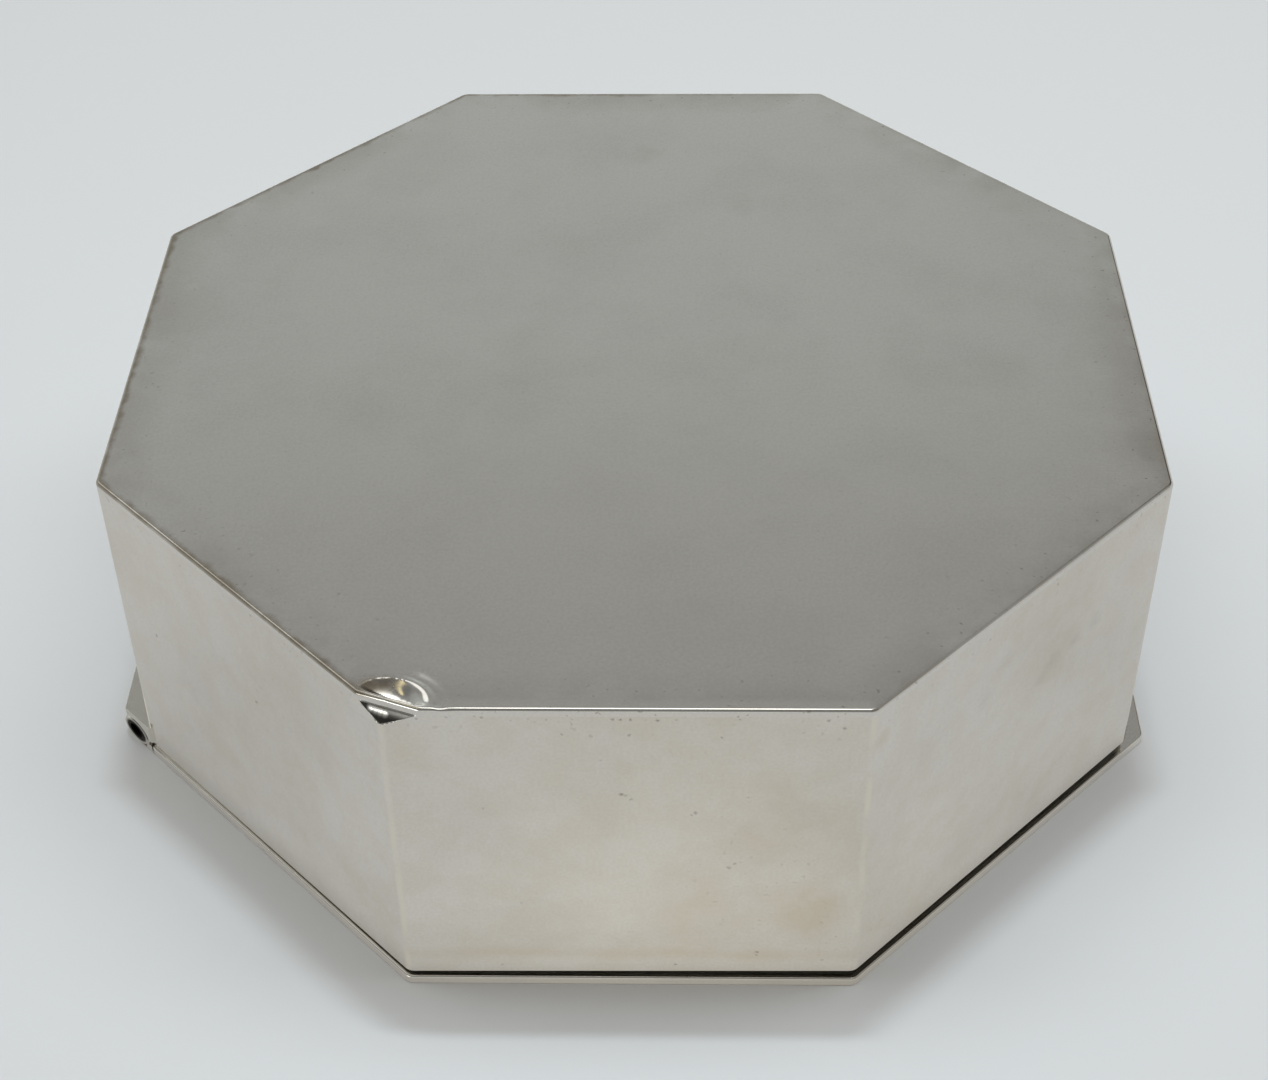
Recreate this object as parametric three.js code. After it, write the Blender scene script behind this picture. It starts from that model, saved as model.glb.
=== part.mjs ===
// Octagonal silver box, standing on its lid with the closed base uppermost.
// Millimetres, +Z up. The origin is the middle of the lid's outer face.
// The hinge runs along the -X side, and the lid's thumb lip along the +X side.

import * as THREE from "three";

// Body: a folded wall closed by a flat base
const ACROSS_FLATS = 130;
const BODY_DEPTH = 45;
const WALL_SHEET = 0.9;
const BASE_SHEET = 1.0;
const WALL_FOLD_INSIDE = 1.6;
const BASE_EDGE_ROUND = 0.45;

// Lid: a flat sheet with a thumb lip, centred in the mouth by a flange
const LID_SHEET = 1.2;
const LID_OVERHANG = 0.4;
const LID_CORNER_RADIUS = 1.2;
const LID_EDGE_ROUND = 0.25;
const THUMB_REACH = 2.9;
const RIM_GAP = 0.8;
const FLANGE_HEIGHT = 4;
const FLANGE_SHEET = 0.8;
const FLANGE_FOLD_INSIDE = 0.8;
const FLANGE_CLEARANCE = 0.4;

// Hinge: tube knuckles in grooved bearers, on one pin
const BARREL_RADIUS = 1.8;
const BARREL_STANDOFF = 0.6;
const BARREL_LIFT = 0.05;
const GROOVE_CLEARANCE = 0.25;
const BEARER_SETBACK = 0.5;
const BEARER_ROOF = 0.95;
const BEARER_EDGE = 0.35;
const BORE_RADIUS = 1.0;
const PIN_CLEARANCE = 0.1;
const PIN_RECESS = 1.5;
const KNUCKLE_COUNT = 5;
const KNUCKLE_GAP = 0.3;

// Facets
const FOLD_STEPS = 3;
const EDGE_STEPS = 3;
const BARREL_STEPS = 18;
const GROOVE_STEPS = 10;
const PIN_SIDES = 24;

// Levels and places worked out from the sizes above
const WALL_FACE = ACROSS_FLATS / 2;
const WALL_FOLD_OUTSIDE = WALL_FOLD_INSIDE + WALL_SHEET;
const RIM_LEVEL = LID_SHEET + RIM_GAP;
const BASE_TOP = RIM_LEVEL + BODY_DEPTH;
const BASE_UNDERSIDE = BASE_TOP - BASE_SHEET;
const LID_FACE = WALL_FACE + LID_OVERHANG;
const LIP_FACE = WALL_FACE + THUMB_REACH;
const DIAGONAL_REACH = LID_FACE * Math.SQRT2;
const HINGE_X = -(WALL_FACE + BARREL_STANDOFF + BARREL_RADIUS);
const HINGE_Z = BARREL_LIFT + BARREL_RADIUS;
const GROOVE_RADIUS = BARREL_RADIUS + GROOVE_CLEARANCE;

const SILVER = { color: 0xc9c7c0, roughness: 0.14, metalness: 1 };
const SILVER_INSIDE = { color: 0xc2bfb6, roughness: 0.3, metalness: 1 };
const SILVER_HINGE = { color: 0xb9b6ad, roughness: 0.24, metalness: 1 };

// Corners, anticlockwise, of an eight-sided outline whose sides stand at the given
// distances from the middle: the four diagonal sides at one distance, the others each at their own.
function eightCorners({ right, back, left, front, diagonal }) {
  const reach = diagonal * Math.SQRT2;
  return [
    [right, right - reach],
    [right, reach - right],
    [reach - back, back],
    [back - reach, back],
    [-left, reach - left],
    [-left, left - reach],
    [front - reach, -front],
    [reach - front, -front],
  ].map(([x, y]) => new THREE.Vector2(x, y));
}

function regularOctagon(face) {
  return eightCorners({ right: face, back: face, left: face, front: face, diagonal: face });
}

// Draws a convex outline with every corner rounded by one radius.
function roundCorners(path, corners, radius) {
  corners.forEach((corner, i) => {
    const before = corners.at(i - 1).clone().sub(corner).normalize();
    const after = corners[(i + 1) % corners.length].clone().sub(corner).normalize();
    const halfAngle = Math.acos(before.dot(after)) / 2;
    const bisector = before.clone().add(after).normalize();
    const centre = corner.clone().addScaledVector(bisector, radius / Math.sin(halfAngle));
    const start = Math.atan2(before.x, -before.y);
    const sweep = Math.PI - 2 * halfAngle;
    path.absarc(centre.x, centre.y, radius, start, start + sweep, false);
  });
  path.closePath();
  return path;
}

// A plate with rounded edges, lofted through one outline per level.
function loft(levels) {
  const rings = levels.map(({ corners, radius, z }) => {
    const points = roundCorners(new THREE.Shape(), corners, radius).extractPoints(FOLD_STEPS).shape;
    return points.map((p) => [p.x, p.y, z]);
  });
  const count = rings[0].length;
  const flat = rings[0].map(([x, y]) => new THREE.Vector2(x, y));
  const cap = THREE.ShapeUtils.triangulateShape(flat, []);
  const lastRing = (rings.length - 1) * count;
  const index = [];
  cap.forEach(([a, b, c]) => index.push(c, b, a, lastRing + a, lastRing + b, lastRing + c));
  for (let level = 0; level < rings.length - 1; level += 1) {
    for (let i = 0; i < count; i += 1) {
      const a = level * count + i;
      const b = level * count + ((i + 1) % count);
      index.push(a, b, b + count, a, b + count, a + count);
    }
  }
  const geometry = new THREE.BufferGeometry();
  geometry.setAttribute("position", new THREE.Float32BufferAttribute(rings.flat(2), 3));
  geometry.setIndex(index);
  geometry.computeVertexNormals();
  return geometry;
}

// Drops below the flat face and insets of a quarter-round edge, from the side to the face.
function roundedEdge(radius) {
  return Array.from({ length: EDGE_STEPS + 1 }, (_, i) => {
    const turn = (i / EDGE_STEPS) * (Math.PI / 2);
    return { drop: radius * (1 - Math.sin(turn)), inset: radius * (1 - Math.cos(turn)) };
  });
}

// A strip folded into an eight-sided ring.
function foldedBand(outerFace, sheet, foldInside, bottom, top) {
  const shape = roundCorners(new THREE.Shape(), regularOctagon(outerFace), foldInside + sheet);
  shape.holes.push(roundCorners(new THREE.Path(), regularOctagon(outerFace - sheet), foldInside));
  const options = { depth: top - bottom, bevelEnabled: false, curveSegments: FOLD_STEPS };
  return new THREE.ExtrudeGeometry(shape, options).translate(0, 0, bottom);
}

// A bar along Y from an outline in X and Z. Each end is a function that gives Y from X.
function hingeBar(shape, rearEnd, frontEnd, curveSegments) {
  const geometry = new THREE.ExtrudeGeometry(shape, { depth: 1, bevelEnabled: false, curveSegments });
  const position = geometry.getAttribute("position");
  for (let i = 0; i < position.count; i += 1) {
    const x = position.getX(i);
    const z = position.getY(i);
    const y = position.getZ(i) > 0.5 ? frontEnd(x) : rearEnd(x);
    position.setXYZ(i, x, y, z);
  }
  geometry.computeVertexNormals();
  return geometry;
}

const rearMitre = (x) => DIAGONAL_REACH - Math.abs(x);
const frontMitre = (x) => Math.abs(x) - DIAGONAL_REACH;

function basePlate() {
  const lower = { corners: regularOctagon(WALL_FACE), radius: WALL_FOLD_OUTSIDE, z: BASE_UNDERSIDE };
  const edge = roundedEdge(BASE_EDGE_ROUND).map(({ drop, inset }) => ({
    corners: regularOctagon(WALL_FACE - inset),
    radius: WALL_FOLD_OUTSIDE - inset,
    z: BASE_TOP - drop,
  }));
  return loft([lower, ...edge]);
}

function lidOutline(inset) {
  const face = LID_FACE - inset;
  return eightCorners({
    right: LIP_FACE - inset,
    back: face,
    left: WALL_FACE - inset,
    front: face,
    diagonal: face,
  });
}

function lidPlate() {
  const edge = roundedEdge(LID_EDGE_ROUND);
  const level = (inset, z) => ({ corners: lidOutline(inset), radius: LID_CORNER_RADIUS - inset, z });
  const lower = edge.map(({ drop, inset }) => level(inset, drop));
  const upper = edge.map(({ drop, inset }) => level(inset, LID_SHEET - drop));
  return loft([...lower.reverse(), ...upper]);
}

function lidFlange() {
  const face = WALL_FACE - WALL_SHEET - FLANGE_CLEARANCE;
  return foldedBand(face, FLANGE_SHEET, FLANGE_FOLD_INSIDE, LID_SHEET, LID_SHEET + FLANGE_HEIGHT);
}

function sideBand() {
  return foldedBand(WALL_FACE, WALL_SHEET, WALL_FOLD_INSIDE, RIM_LEVEL, BASE_UNDERSIDE);
}

// Distance along X from the hinge axis to the groove, at a height measured from the axis.
const grooveReach = (height) => Math.sqrt(GROOVE_RADIUS ** 2 - height ** 2);

// The body's bearer roofs the tubes over, and its flat top ends in a blunt outer edge.
function bodyBearer() {
  const lowest = RIM_LEVEL - HINGE_Z;
  const outer = HINGE_X - BARREL_RADIUS + BEARER_SETBACK;
  const top = HINGE_Z + GROOVE_RADIUS + BEARER_ROOF;
  const brow = Math.sqrt(GROOVE_RADIUS ** 2 - (HINGE_X - outer) ** 2) + BEARER_EDGE;
  const shape = new THREE.Shape();
  shape.moveTo(-WALL_FACE, RIM_LEVEL);
  shape.lineTo(-WALL_FACE, top);
  shape.lineTo(outer, top);
  shape.lineTo(outer, HINGE_Z + brow);
  const from = Math.PI - Math.asin(brow / GROOVE_RADIUS);
  const to = Math.asin(lowest / GROOVE_RADIUS);
  shape.absarc(HINGE_X, HINGE_Z, GROOVE_RADIUS, from, to, true);
  shape.closePath();
  return hingeBar(shape, rearMitre, frontMitre, GROOVE_STEPS);
}

function lidBearer() {
  const tip = BEARER_EDGE - HINGE_Z;
  const highest = LID_SHEET - HINGE_Z;
  const shape = new THREE.Shape();
  shape.moveTo(-WALL_FACE, 0);
  shape.lineTo(-WALL_FACE, LID_SHEET);
  const from = Math.asin(highest / GROOVE_RADIUS);
  const to = Math.asin(tip / GROOVE_RADIUS);
  shape.absarc(HINGE_X, HINGE_Z, GROOVE_RADIUS, from, to, true);
  shape.lineTo(HINGE_X + grooveReach(tip), 0);
  shape.closePath();
  return hingeBar(shape, rearMitre, frontMitre, GROOVE_STEPS);
}

const BARREL_LENGTH = 2 * (DIAGONAL_REACH - Math.abs(HINGE_X));
const KNUCKLE_PITCH = (BARREL_LENGTH + KNUCKLE_GAP) / KNUCKLE_COUNT;

// One length of tube. The first and last are cut in line with the diagonal sides.
function knuckle(place) {
  const shape = new THREE.Shape();
  shape.absarc(HINGE_X, HINGE_Z, BARREL_RADIUS, 0, 2 * Math.PI, false);
  const bore = new THREE.Path();
  bore.absarc(HINGE_X, HINGE_Z, BORE_RADIUS, 0, 2 * Math.PI, true);
  shape.holes.push(bore);
  const front = place * KNUCKLE_PITCH - BARREL_LENGTH / 2;
  const rear = front + KNUCKLE_PITCH - KNUCKLE_GAP;
  const frontEnd = place === 0 ? frontMitre : () => front;
  const rearEnd = place === KNUCKLE_COUNT - 1 ? rearMitre : () => rear;
  return hingeBar(shape, rearEnd, frontEnd, BARREL_STEPS);
}

function hingePin() {
  const radius = BORE_RADIUS - PIN_CLEARANCE;
  const length = BARREL_LENGTH - 2 * PIN_RECESS;
  return new THREE.CylinderGeometry(radius, radius, length, PIN_SIDES).translate(HINGE_X, 0, HINGE_Z);
}

function addPiece(group, name, geometry, finish) {
  const piece = new THREE.Mesh(geometry, new THREE.MeshStandardMaterial(finish));
  piece.name = name;
  group.add(piece);
}

const box = new THREE.Group();
const body = new THREE.Group();
const lid = new THREE.Group();
box.add(body, lid);

addPiece(body, "base_plate", basePlate(), SILVER);
addPiece(body, "side_band", sideBand(), SILVER);
addPiece(body, "body_hinge_bearer", bodyBearer(), SILVER_HINGE);
addPiece(lid, "lid_plate", lidPlate(), SILVER);
addPiece(lid, "lid_flange", lidFlange(), SILVER_INSIDE);
addPiece(lid, "lid_hinge_bearer", lidBearer(), SILVER_HINGE);

// Knuckles alternate, and the two ends belong to the body.
for (let place = 0; place < KNUCKLE_COUNT; place += 1) {
  const onBody = place % 2 === 0;
  const name = `${onBody ? "body" : "lid"}_knuckle_${Math.floor(place / 2) + 1}`;
  addPiece(onBody ? body : lid, name, knuckle(place), SILVER_HINGE);
}
addPiece(body, "hinge_pin", hingePin(), SILVER_HINGE);

export default box;
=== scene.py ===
"""Octagonal silver box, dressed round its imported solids.

The box stands upside down on its lid, as it is stored: the closed base is uppermost, the barrel hinge
runs along the -X foot and the lid's thumb lip along the +X foot. Everything is in metres, in the
frame of the solids.
"""

import logging
import math
from dataclasses import dataclass, field
from enum import Enum
from typing import Any, Callable, Mapping, Sequence

import bmesh
import bpy
from mathutils import Matrix, Vector


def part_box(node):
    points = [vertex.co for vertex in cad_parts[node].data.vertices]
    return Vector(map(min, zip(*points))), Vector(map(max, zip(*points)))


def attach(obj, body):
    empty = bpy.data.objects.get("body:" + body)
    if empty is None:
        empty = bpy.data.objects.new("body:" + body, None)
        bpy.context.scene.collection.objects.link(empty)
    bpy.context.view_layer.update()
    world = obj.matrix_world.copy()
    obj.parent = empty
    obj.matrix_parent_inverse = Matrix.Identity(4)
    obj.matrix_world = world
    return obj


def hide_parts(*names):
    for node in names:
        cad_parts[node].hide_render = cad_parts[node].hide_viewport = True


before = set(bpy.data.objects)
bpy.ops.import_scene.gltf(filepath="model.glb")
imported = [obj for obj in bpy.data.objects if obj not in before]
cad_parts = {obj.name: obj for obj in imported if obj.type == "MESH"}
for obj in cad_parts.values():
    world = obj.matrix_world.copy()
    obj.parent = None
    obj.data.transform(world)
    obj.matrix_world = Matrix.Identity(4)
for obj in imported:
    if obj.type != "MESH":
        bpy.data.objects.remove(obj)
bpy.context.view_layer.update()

MM = 0.001
HALF_EIGHTH = math.pi / 8
FOLD_COS, FOLD_SIN = math.cos(HALF_EIGHTH), math.sin(HALF_EIGHTH)
FOLD_TANGENT = math.tan(HALF_EIGHTH)
SHARP_ANGLE = math.radians(35.0)
FOLD_STEPS = 8
HAIR = 1e-6  # slack when places are compared
SQRT_HALF = math.sqrt(0.5)

Colour = tuple[float, float, float]
Point = tuple[float, float, float]
SocketKey = str | int

log = logging.getLogger("octagonal_box")


class Body(Enum):
    """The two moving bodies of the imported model."""

    LID = "lid"
    BOX = "box_body"


class Slot(Enum):
    """The record's material slots."""

    POLISHED = "polished_silver"
    INNER = "inner_silver"
    HINGE = "hinge_silver"


class Pick(Enum):
    """What a selection in edit mode is made of, with Blender's select mode for it."""

    VERTS = (True, False, False)
    EDGES = (False, True, False)
    FACES = (False, False, True)


class Signal:
    """One output socket. Arithmetic on it adds Math nodes to its tree."""

    def __init__(self, graph: "Graph", socket: bpy.types.NodeSocket) -> None:
        """Keep the socket and the graph that it is in."""
        self.graph = graph
        self.socket = socket

    def math(self, operation: str, *operands: "Signal | float") -> "Signal":
        """Add one Math node with these inputs, in order, and return its result."""
        return self.graph.node("ShaderNodeMath", {"operation": operation}, dict(enumerate(operands)))

    def vector(self, operation: str, *operands: "Signal | Point", output: SocketKey = 0) -> "Signal":
        """Add one Vector Math node with these inputs, in order, and return one of its results."""
        settings, sockets = {"operation": operation}, dict(enumerate(operands))
        return self.graph.node("ShaderNodeVectorMath", settings, sockets, output)

    def __add__(self, other: "Signal | float") -> "Signal":
        """Sum."""
        return self.math("ADD", self, other)

    def __radd__(self, other: float) -> "Signal":
        """Sum with a number on the left."""
        return self.math("ADD", other, self)

    def __sub__(self, other: "Signal | float") -> "Signal":
        """Difference."""
        return self.math("SUBTRACT", self, other)

    def __rsub__(self, other: float) -> "Signal":
        """Difference from a number on the left."""
        return self.math("SUBTRACT", other, self)

    def __mul__(self, other: "Signal | float") -> "Signal":
        """Product."""
        return self.math("MULTIPLY", self, other)

    def __rmul__(self, other: float) -> "Signal":
        """Product with a number on the left."""
        return self.math("MULTIPLY", other, self)

    def __abs__(self) -> "Signal":
        """Absolute value."""
        return self.math("ABSOLUTE", self)

    def larger(self, other: "Signal | float") -> "Signal":
        """The larger of two values."""
        return self.math("MAXIMUM", self, other)

    def smaller(self, other: "Signal | float") -> "Signal":
        """The smaller of two values."""
        return self.math("MINIMUM", self, other)

    def step(self, low: float, high: float) -> "Signal":
        """Smooth rise from 0 at low to 1 at high.

        Args:
            low: where the rise starts.
            high: where it ends, which may be below low for a fall.

        Returns:
            The mask.
        """
        if low > high:
            return 1.0 - self.step(high, low)
        settings = {"interpolation_type": "SMOOTHSTEP", "clamp": True}
        sockets = {"Value": self, "From Min": low, "From Max": high, "To Min": 0.0, "To Max": 1.0}
        return self.graph.node("ShaderNodeMapRange", settings, sockets)

    def noise(self, scale: float, detail: float = 2.0, rough: float = 0.5) -> "Signal":
        """Soft noise between 0 and 1: patches per metre, finer layers and the strength of these."""
        sockets = {"Vector": self, "Scale": scale, "Detail": detail, "Roughness": rough}
        return self.graph.node("ShaderNodeTexNoise", None, sockets, "Fac")

    def stretched(self, scale: Point) -> "Signal":
        """This place on a stretched grid."""
        return self.graph.node("ShaderNodeMapping", None, {"Vector": self, "Scale": scale})

    def wander(self, scale: float, amount: float) -> "Signal":
        """This place, shifted about so that outlines drawn with it come out uneven.

        Args:
            scale: shifts per metre.
            amount: the largest shift.

        Returns:
            The shifted place.
        """
        sockets = {"Vector": self, "Scale": scale, "Detail": 3.0}
        swirl = self.graph.node("ShaderNodeTexNoise", None, sockets, "Color")
        moved = self.vector("MULTIPLY_ADD", swirl, (2 * amount,) * 3, self)
        return self.vector("SUBTRACT", moved, (amount,) * 3)

    def near(self, centre: Point, reach: float) -> "Signal":
        """Mask that falls from 1 at a point to 0 at a distance."""
        return self.vector("DISTANCE", self, centre, output="Value").step(reach, 0.0)

    def parts(self) -> "tuple[Signal, ...]":
        """The X, Y and Z of this vector."""
        outputs = self.graph.node("ShaderNodeSeparateXYZ", None, {0: self}).socket.node.outputs
        return tuple(Signal(self.graph, output) for output in outputs)


class Graph:
    """The nodes of one material or world."""

    def __init__(self, tree: bpy.types.NodeTree) -> None:
        """Start from an empty tree."""
        self.tree = tree
        tree.nodes.clear()

    def node(
        self,
        kind: str,
        settings: Mapping[str, Any] | None = None,
        sockets: Mapping[SocketKey, Any] | None = None,
        output: SocketKey = 0,
    ) -> Signal:
        """Add any node.

        Args:
            kind: the node's type.
            settings: its own settings, set first. "stops" are a ramp's (position, grey) pairs.
            sockets: values or signals for its inputs, by name or place.
            output: the output that is returned, by name or place.

        Returns:
            That output, or the node's first one.
        """
        made = self.tree.nodes.new(kind)
        for key, value in (settings or {}).items():
            if key == "stops":
                self._set_stops(made.color_ramp, value)
            else:
                setattr(made, key, value)
        for key, value in (sockets or {}).items():
            if isinstance(value, Signal):
                self.tree.links.new(value.socket, made.inputs[key])
            elif isinstance(value, tuple) and made.inputs[key].type == "RGBA":
                made.inputs[key].default_value = (*value, 1.0)
            else:
                made.inputs[key].default_value = value
        return Signal(self, made.outputs[output]) if made.outputs else Signal(self, None)

    @staticmethod
    def _set_stops(ramp: bpy.types.ColorRamp, stops: Sequence[tuple[float, float]]) -> None:
        """Give a ramp its stops, from left to right.

        Args:
            ramp: the ramp.
            stops: (position, grey) pairs.
        """
        while len(ramp.elements) < len(stops):
            ramp.elements.new(1.0)
        for element, (position, grey) in zip(ramp.elements, stops):
            element.position = position
            element.color = (grey, grey, grey, 1.0)

    def blend(self, mask: Signal | float, first: Signal | Colour, second: Signal | Colour) -> Signal:
        """Mix of two colours by a mask."""
        sockets = {0: mask, 6: first, 7: second}
        return self.node("ShaderNodeMix", {"data_type": "RGBA"}, sockets, 2)


@dataclass(frozen=True)
class Patches:
    """Soft noise cut to a mask, which rises from the low to the high value."""

    scale: float
    detail: float
    rough: float
    low: float
    high: float

    def mask(self, place: Signal) -> Signal:
        """Where the patches are, from 0 to 1."""
        return place.noise(self.scale, self.detail, self.rough).step(self.low, self.high)


@dataclass(frozen=True)
class Mark:
    """One blemish at a known place, in millimetres."""

    place: Point
    reach: float
    share: float = 1.0

    def mask(self, place: Signal) -> Signal:
        """Where the blemish is, from 0 to its share."""
        return place.near(tuple(MM * part for part in self.place), MM * self.reach) * self.share


@dataclass(frozen=True)
class SilverFinish:
    """Polished sheet silver with smudges, hairlines, specks and a little warm tarnish."""

    name: str
    silver: Colour = (0.93, 0.915, 0.875)
    dull: Colour = (0.80, 0.785, 0.75)
    tarnish: Colour = (0.80, 0.69, 0.53)
    pit: Colour = (0.30, 0.28, 0.25)
    shade_colour: Colour = (0.035, 0.032, 0.03)
    # Colour of the painted highlight.
    highlight_colour: Colour = (0.985, 0.952, 0.85)
    gloss: float = 0.13
    haze: float = 0.05
    cloud_share: float = 0.45
    grain_share: float = 0.30
    tarnish_share: float = 0.35
    speck_share: float = 0.4
    line_rough: float = 0.02
    grain_rough: float = 0.03
    tarnish_rough: float = 0.06
    pit_rough: float = 0.25
    shade_rough: float = 0.5
    grain_scale: float = 1500.0
    ripple_scale: float = 30.0
    hairline_depth: float = 0.8e-6
    ripple_depth: float = 6.0e-6
    grain_depth: float = 0.2e-6
    pit_depth: float = 8.0e-6
    smudges: Patches = Patches(62.0, 4.0, 0.6, 0.40, 0.72)
    satin: Patches = Patches(2600.0, 2.0, 0.6, 0.35, 0.65)
    blotches: Patches = Patches(38.0, 3.0, 0.55, 0.48, 0.72)
    specks: Patches = Patches(1300.0, 1.0, 0.5, 0.70, 0.77)
    speckled: Patches = Patches(55.0, 2.0, 0.5, 0.50, 0.70)
    stains: tuple[Mark, ...] = ()
    nicks: tuple[Mark, ...] = ()

    def stain(self, place: Signal) -> Signal:
        """Where the metal has yellowed, from 0 to 1."""
        return self.blotches.mask(place)

    def wear(self, place: Signal) -> Signal:
        """Where specks gather, from 0 to 1."""
        return self.speckled.mask(place)

    def painted_shade(self, place: Signal) -> Signal | float:
        """Where painted shade makes the metal black: nowhere, on an open face."""
        return 0.0

    def painted_highlight(self, place: Signal) -> Signal | float:
        """Where a painted highlight makes the metal brighter and yellower: nowhere, on a flat face."""
        return 0.0

    def hairlines(self, place: Signal) -> Signal:
        """Fine polishing scratches in two directions.

        Args:
            place: Object coordinates.

        Returns:
            A value near 1 on the scratches.
        """
        along = place.stretched((70.0, 2600.0, 2600.0)).noise(1.0, 3.0, 0.6)
        across = place.stretched((2300.0, 85.0, 2300.0)).noise(1.0, 3.0, 0.6)
        return along.larger(across).step(0.56, 0.74)

    def blemishes(self, place: Signal) -> tuple[Signal, Signal]:
        """Tarnish and pits together, from the general wear and the marks at known places.

        Args:
            place: Object coordinates.

        Returns:
            The mask of the tarnish and the mask of the pits.
        """
        tarnish = self.stain(place) * self.tarnish_share
        pits = self.specks.mask(place) * self.wear(place) * self.speck_share
        cloudy = place.wander(130.0, 5.0 * MM)
        ragged = place.wander(2600.0, 0.35 * MM)
        for mark in self.stains:
            tarnish = tarnish + mark.mask(cloudy)
        # Marks may be partly painted shade, as in the base's dent.
        for mark in self.nicks:
            pits = pits + mark.mask(ragged)
        return tarnish.smaller(1.0), pits.smaller(1.0)

    def material(self) -> bpy.types.Material:
        """Build the finish.

        Returns:
            The material.
        """
        made = bpy.data.materials.new(self.name)
        made.use_nodes = True
        graph = Graph(made.node_tree)
        place = graph.node("ShaderNodeTexCoord", None, None, "Object")
        smudge = self.smudges.mask(place)
        grain = place.noise(self.grain_scale)
        lines = self.hairlines(place)
        tarnish, pits = self.blemishes(place)
        painted_shade = self.painted_shade(place)
        satin = self.satin.mask(place) * self.grain_share
        clean = graph.blend((smudge * self.cloud_share + satin).smaller(1.0), self.silver, self.dull)
        # Painted highlight laid over the tarnish where a finish paints one.
        tarnished_and_highlit = graph.blend(self.painted_highlight(place), graph.blend(tarnish, clean, self.tarnish), self.highlight_colour)
        tint = graph.blend(pits, tarnished_and_highlit, self.pit)
        # Painted shade: near-black where a finish paints shade in recesses, crevices and the bore.
        colour = graph.blend(painted_shade, tint, self.shade_colour)
        rough = self.gloss + smudge * self.haze + lines * self.line_rough + (grain - 0.5) * self.grain_rough
        rough = rough + tarnish * self.tarnish_rough + pits * self.pit_rough + self.shade_rough * painted_shade
        relief = lines * -self.hairline_depth + place.noise(self.ripple_scale) * self.ripple_depth
        relief = relief + grain * self.grain_depth - pits * self.pit_depth
        bump = {"Strength": 1.0, "Distance": 1.0, "Height": relief}
        shader = {
            "Base Color": colour,
            "Metallic": 1.0,
            "Roughness": rough,
            "Normal": graph.node("ShaderNodeBump", None, bump),
        }
        surface = graph.node("ShaderNodeBsdfPrincipled", None, shader)
        graph.node("ShaderNodeOutputMaterial", None, {"Surface": surface})
        return made


def octagon_distance(place: Signal) -> Signal:
    """Distance of the eight-sided outline through a place from its own middle."""
    x, y = (abs(part) for part in place.parts()[:2])
    return x.larger(y).larger((x + y) * SQRT_HALF)


@dataclass(frozen=True)
class BaseFinish(SilverFinish):
    """The large flat base: clean in the middle, rubbed brown along its edge."""

    edge: float = 65.0 * MM
    top: float = 47.0 * MM
    fringe: float = 1.3 * MM
    front_half: float = 26.0 * MM
    rubbed: Patches = Patches(75.0, 3.0, 0.6, 0.36, 0.62)
    clouds: Patches = Patches(45.0, 3.0, 0.5, 0.50, 0.80)
    mottle: Patches = Patches(260.0, 3.0, 0.6, 0.30, 0.65)

    def stain(self, place: Signal) -> Signal:
        """Rubbed brown along the outline, less in the middle of the front, and in faint clouds.

        Args:
            place: Object coordinates.

        Returns:
            The mask.
        """
        x, y, z = place.parts()
        away = octagon_distance(place.wander(420.0, 0.9 * MM))
        line = away.step(self.edge - self.fringe, self.edge - 0.25 * MM)
        soft = away.step(self.edge - 6.0 * self.fringe, self.edge) * self.rubbed.mask(place)
        front = (y * -1.0).step(self.edge - 2.2 * MM, self.edge - 0.8 * MM)
        front = front * abs(x).step(self.front_half + 1.5 * MM, self.front_half)
        mottled = self.mottle.mask(place) * 0.5 + 0.7
        line = line * mottled * (1.0 - x.step(-20.0 * MM, 30.0 * MM) * 0.85)
        upper = z.step(self.top - 0.40 * MM, self.top - 0.25 * MM)
        return (line + soft * 0.35) * (1.0 - front * 0.9) * upper + self.clouds.mask(place) * 0.10

    def wear(self, place: Signal) -> Signal:
        """Specks near the outline, and hardly any elsewhere."""
        return octagon_distance(place).step(self.edge - 7.0 * self.fringe, self.edge) * 0.9 + 0.15


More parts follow.
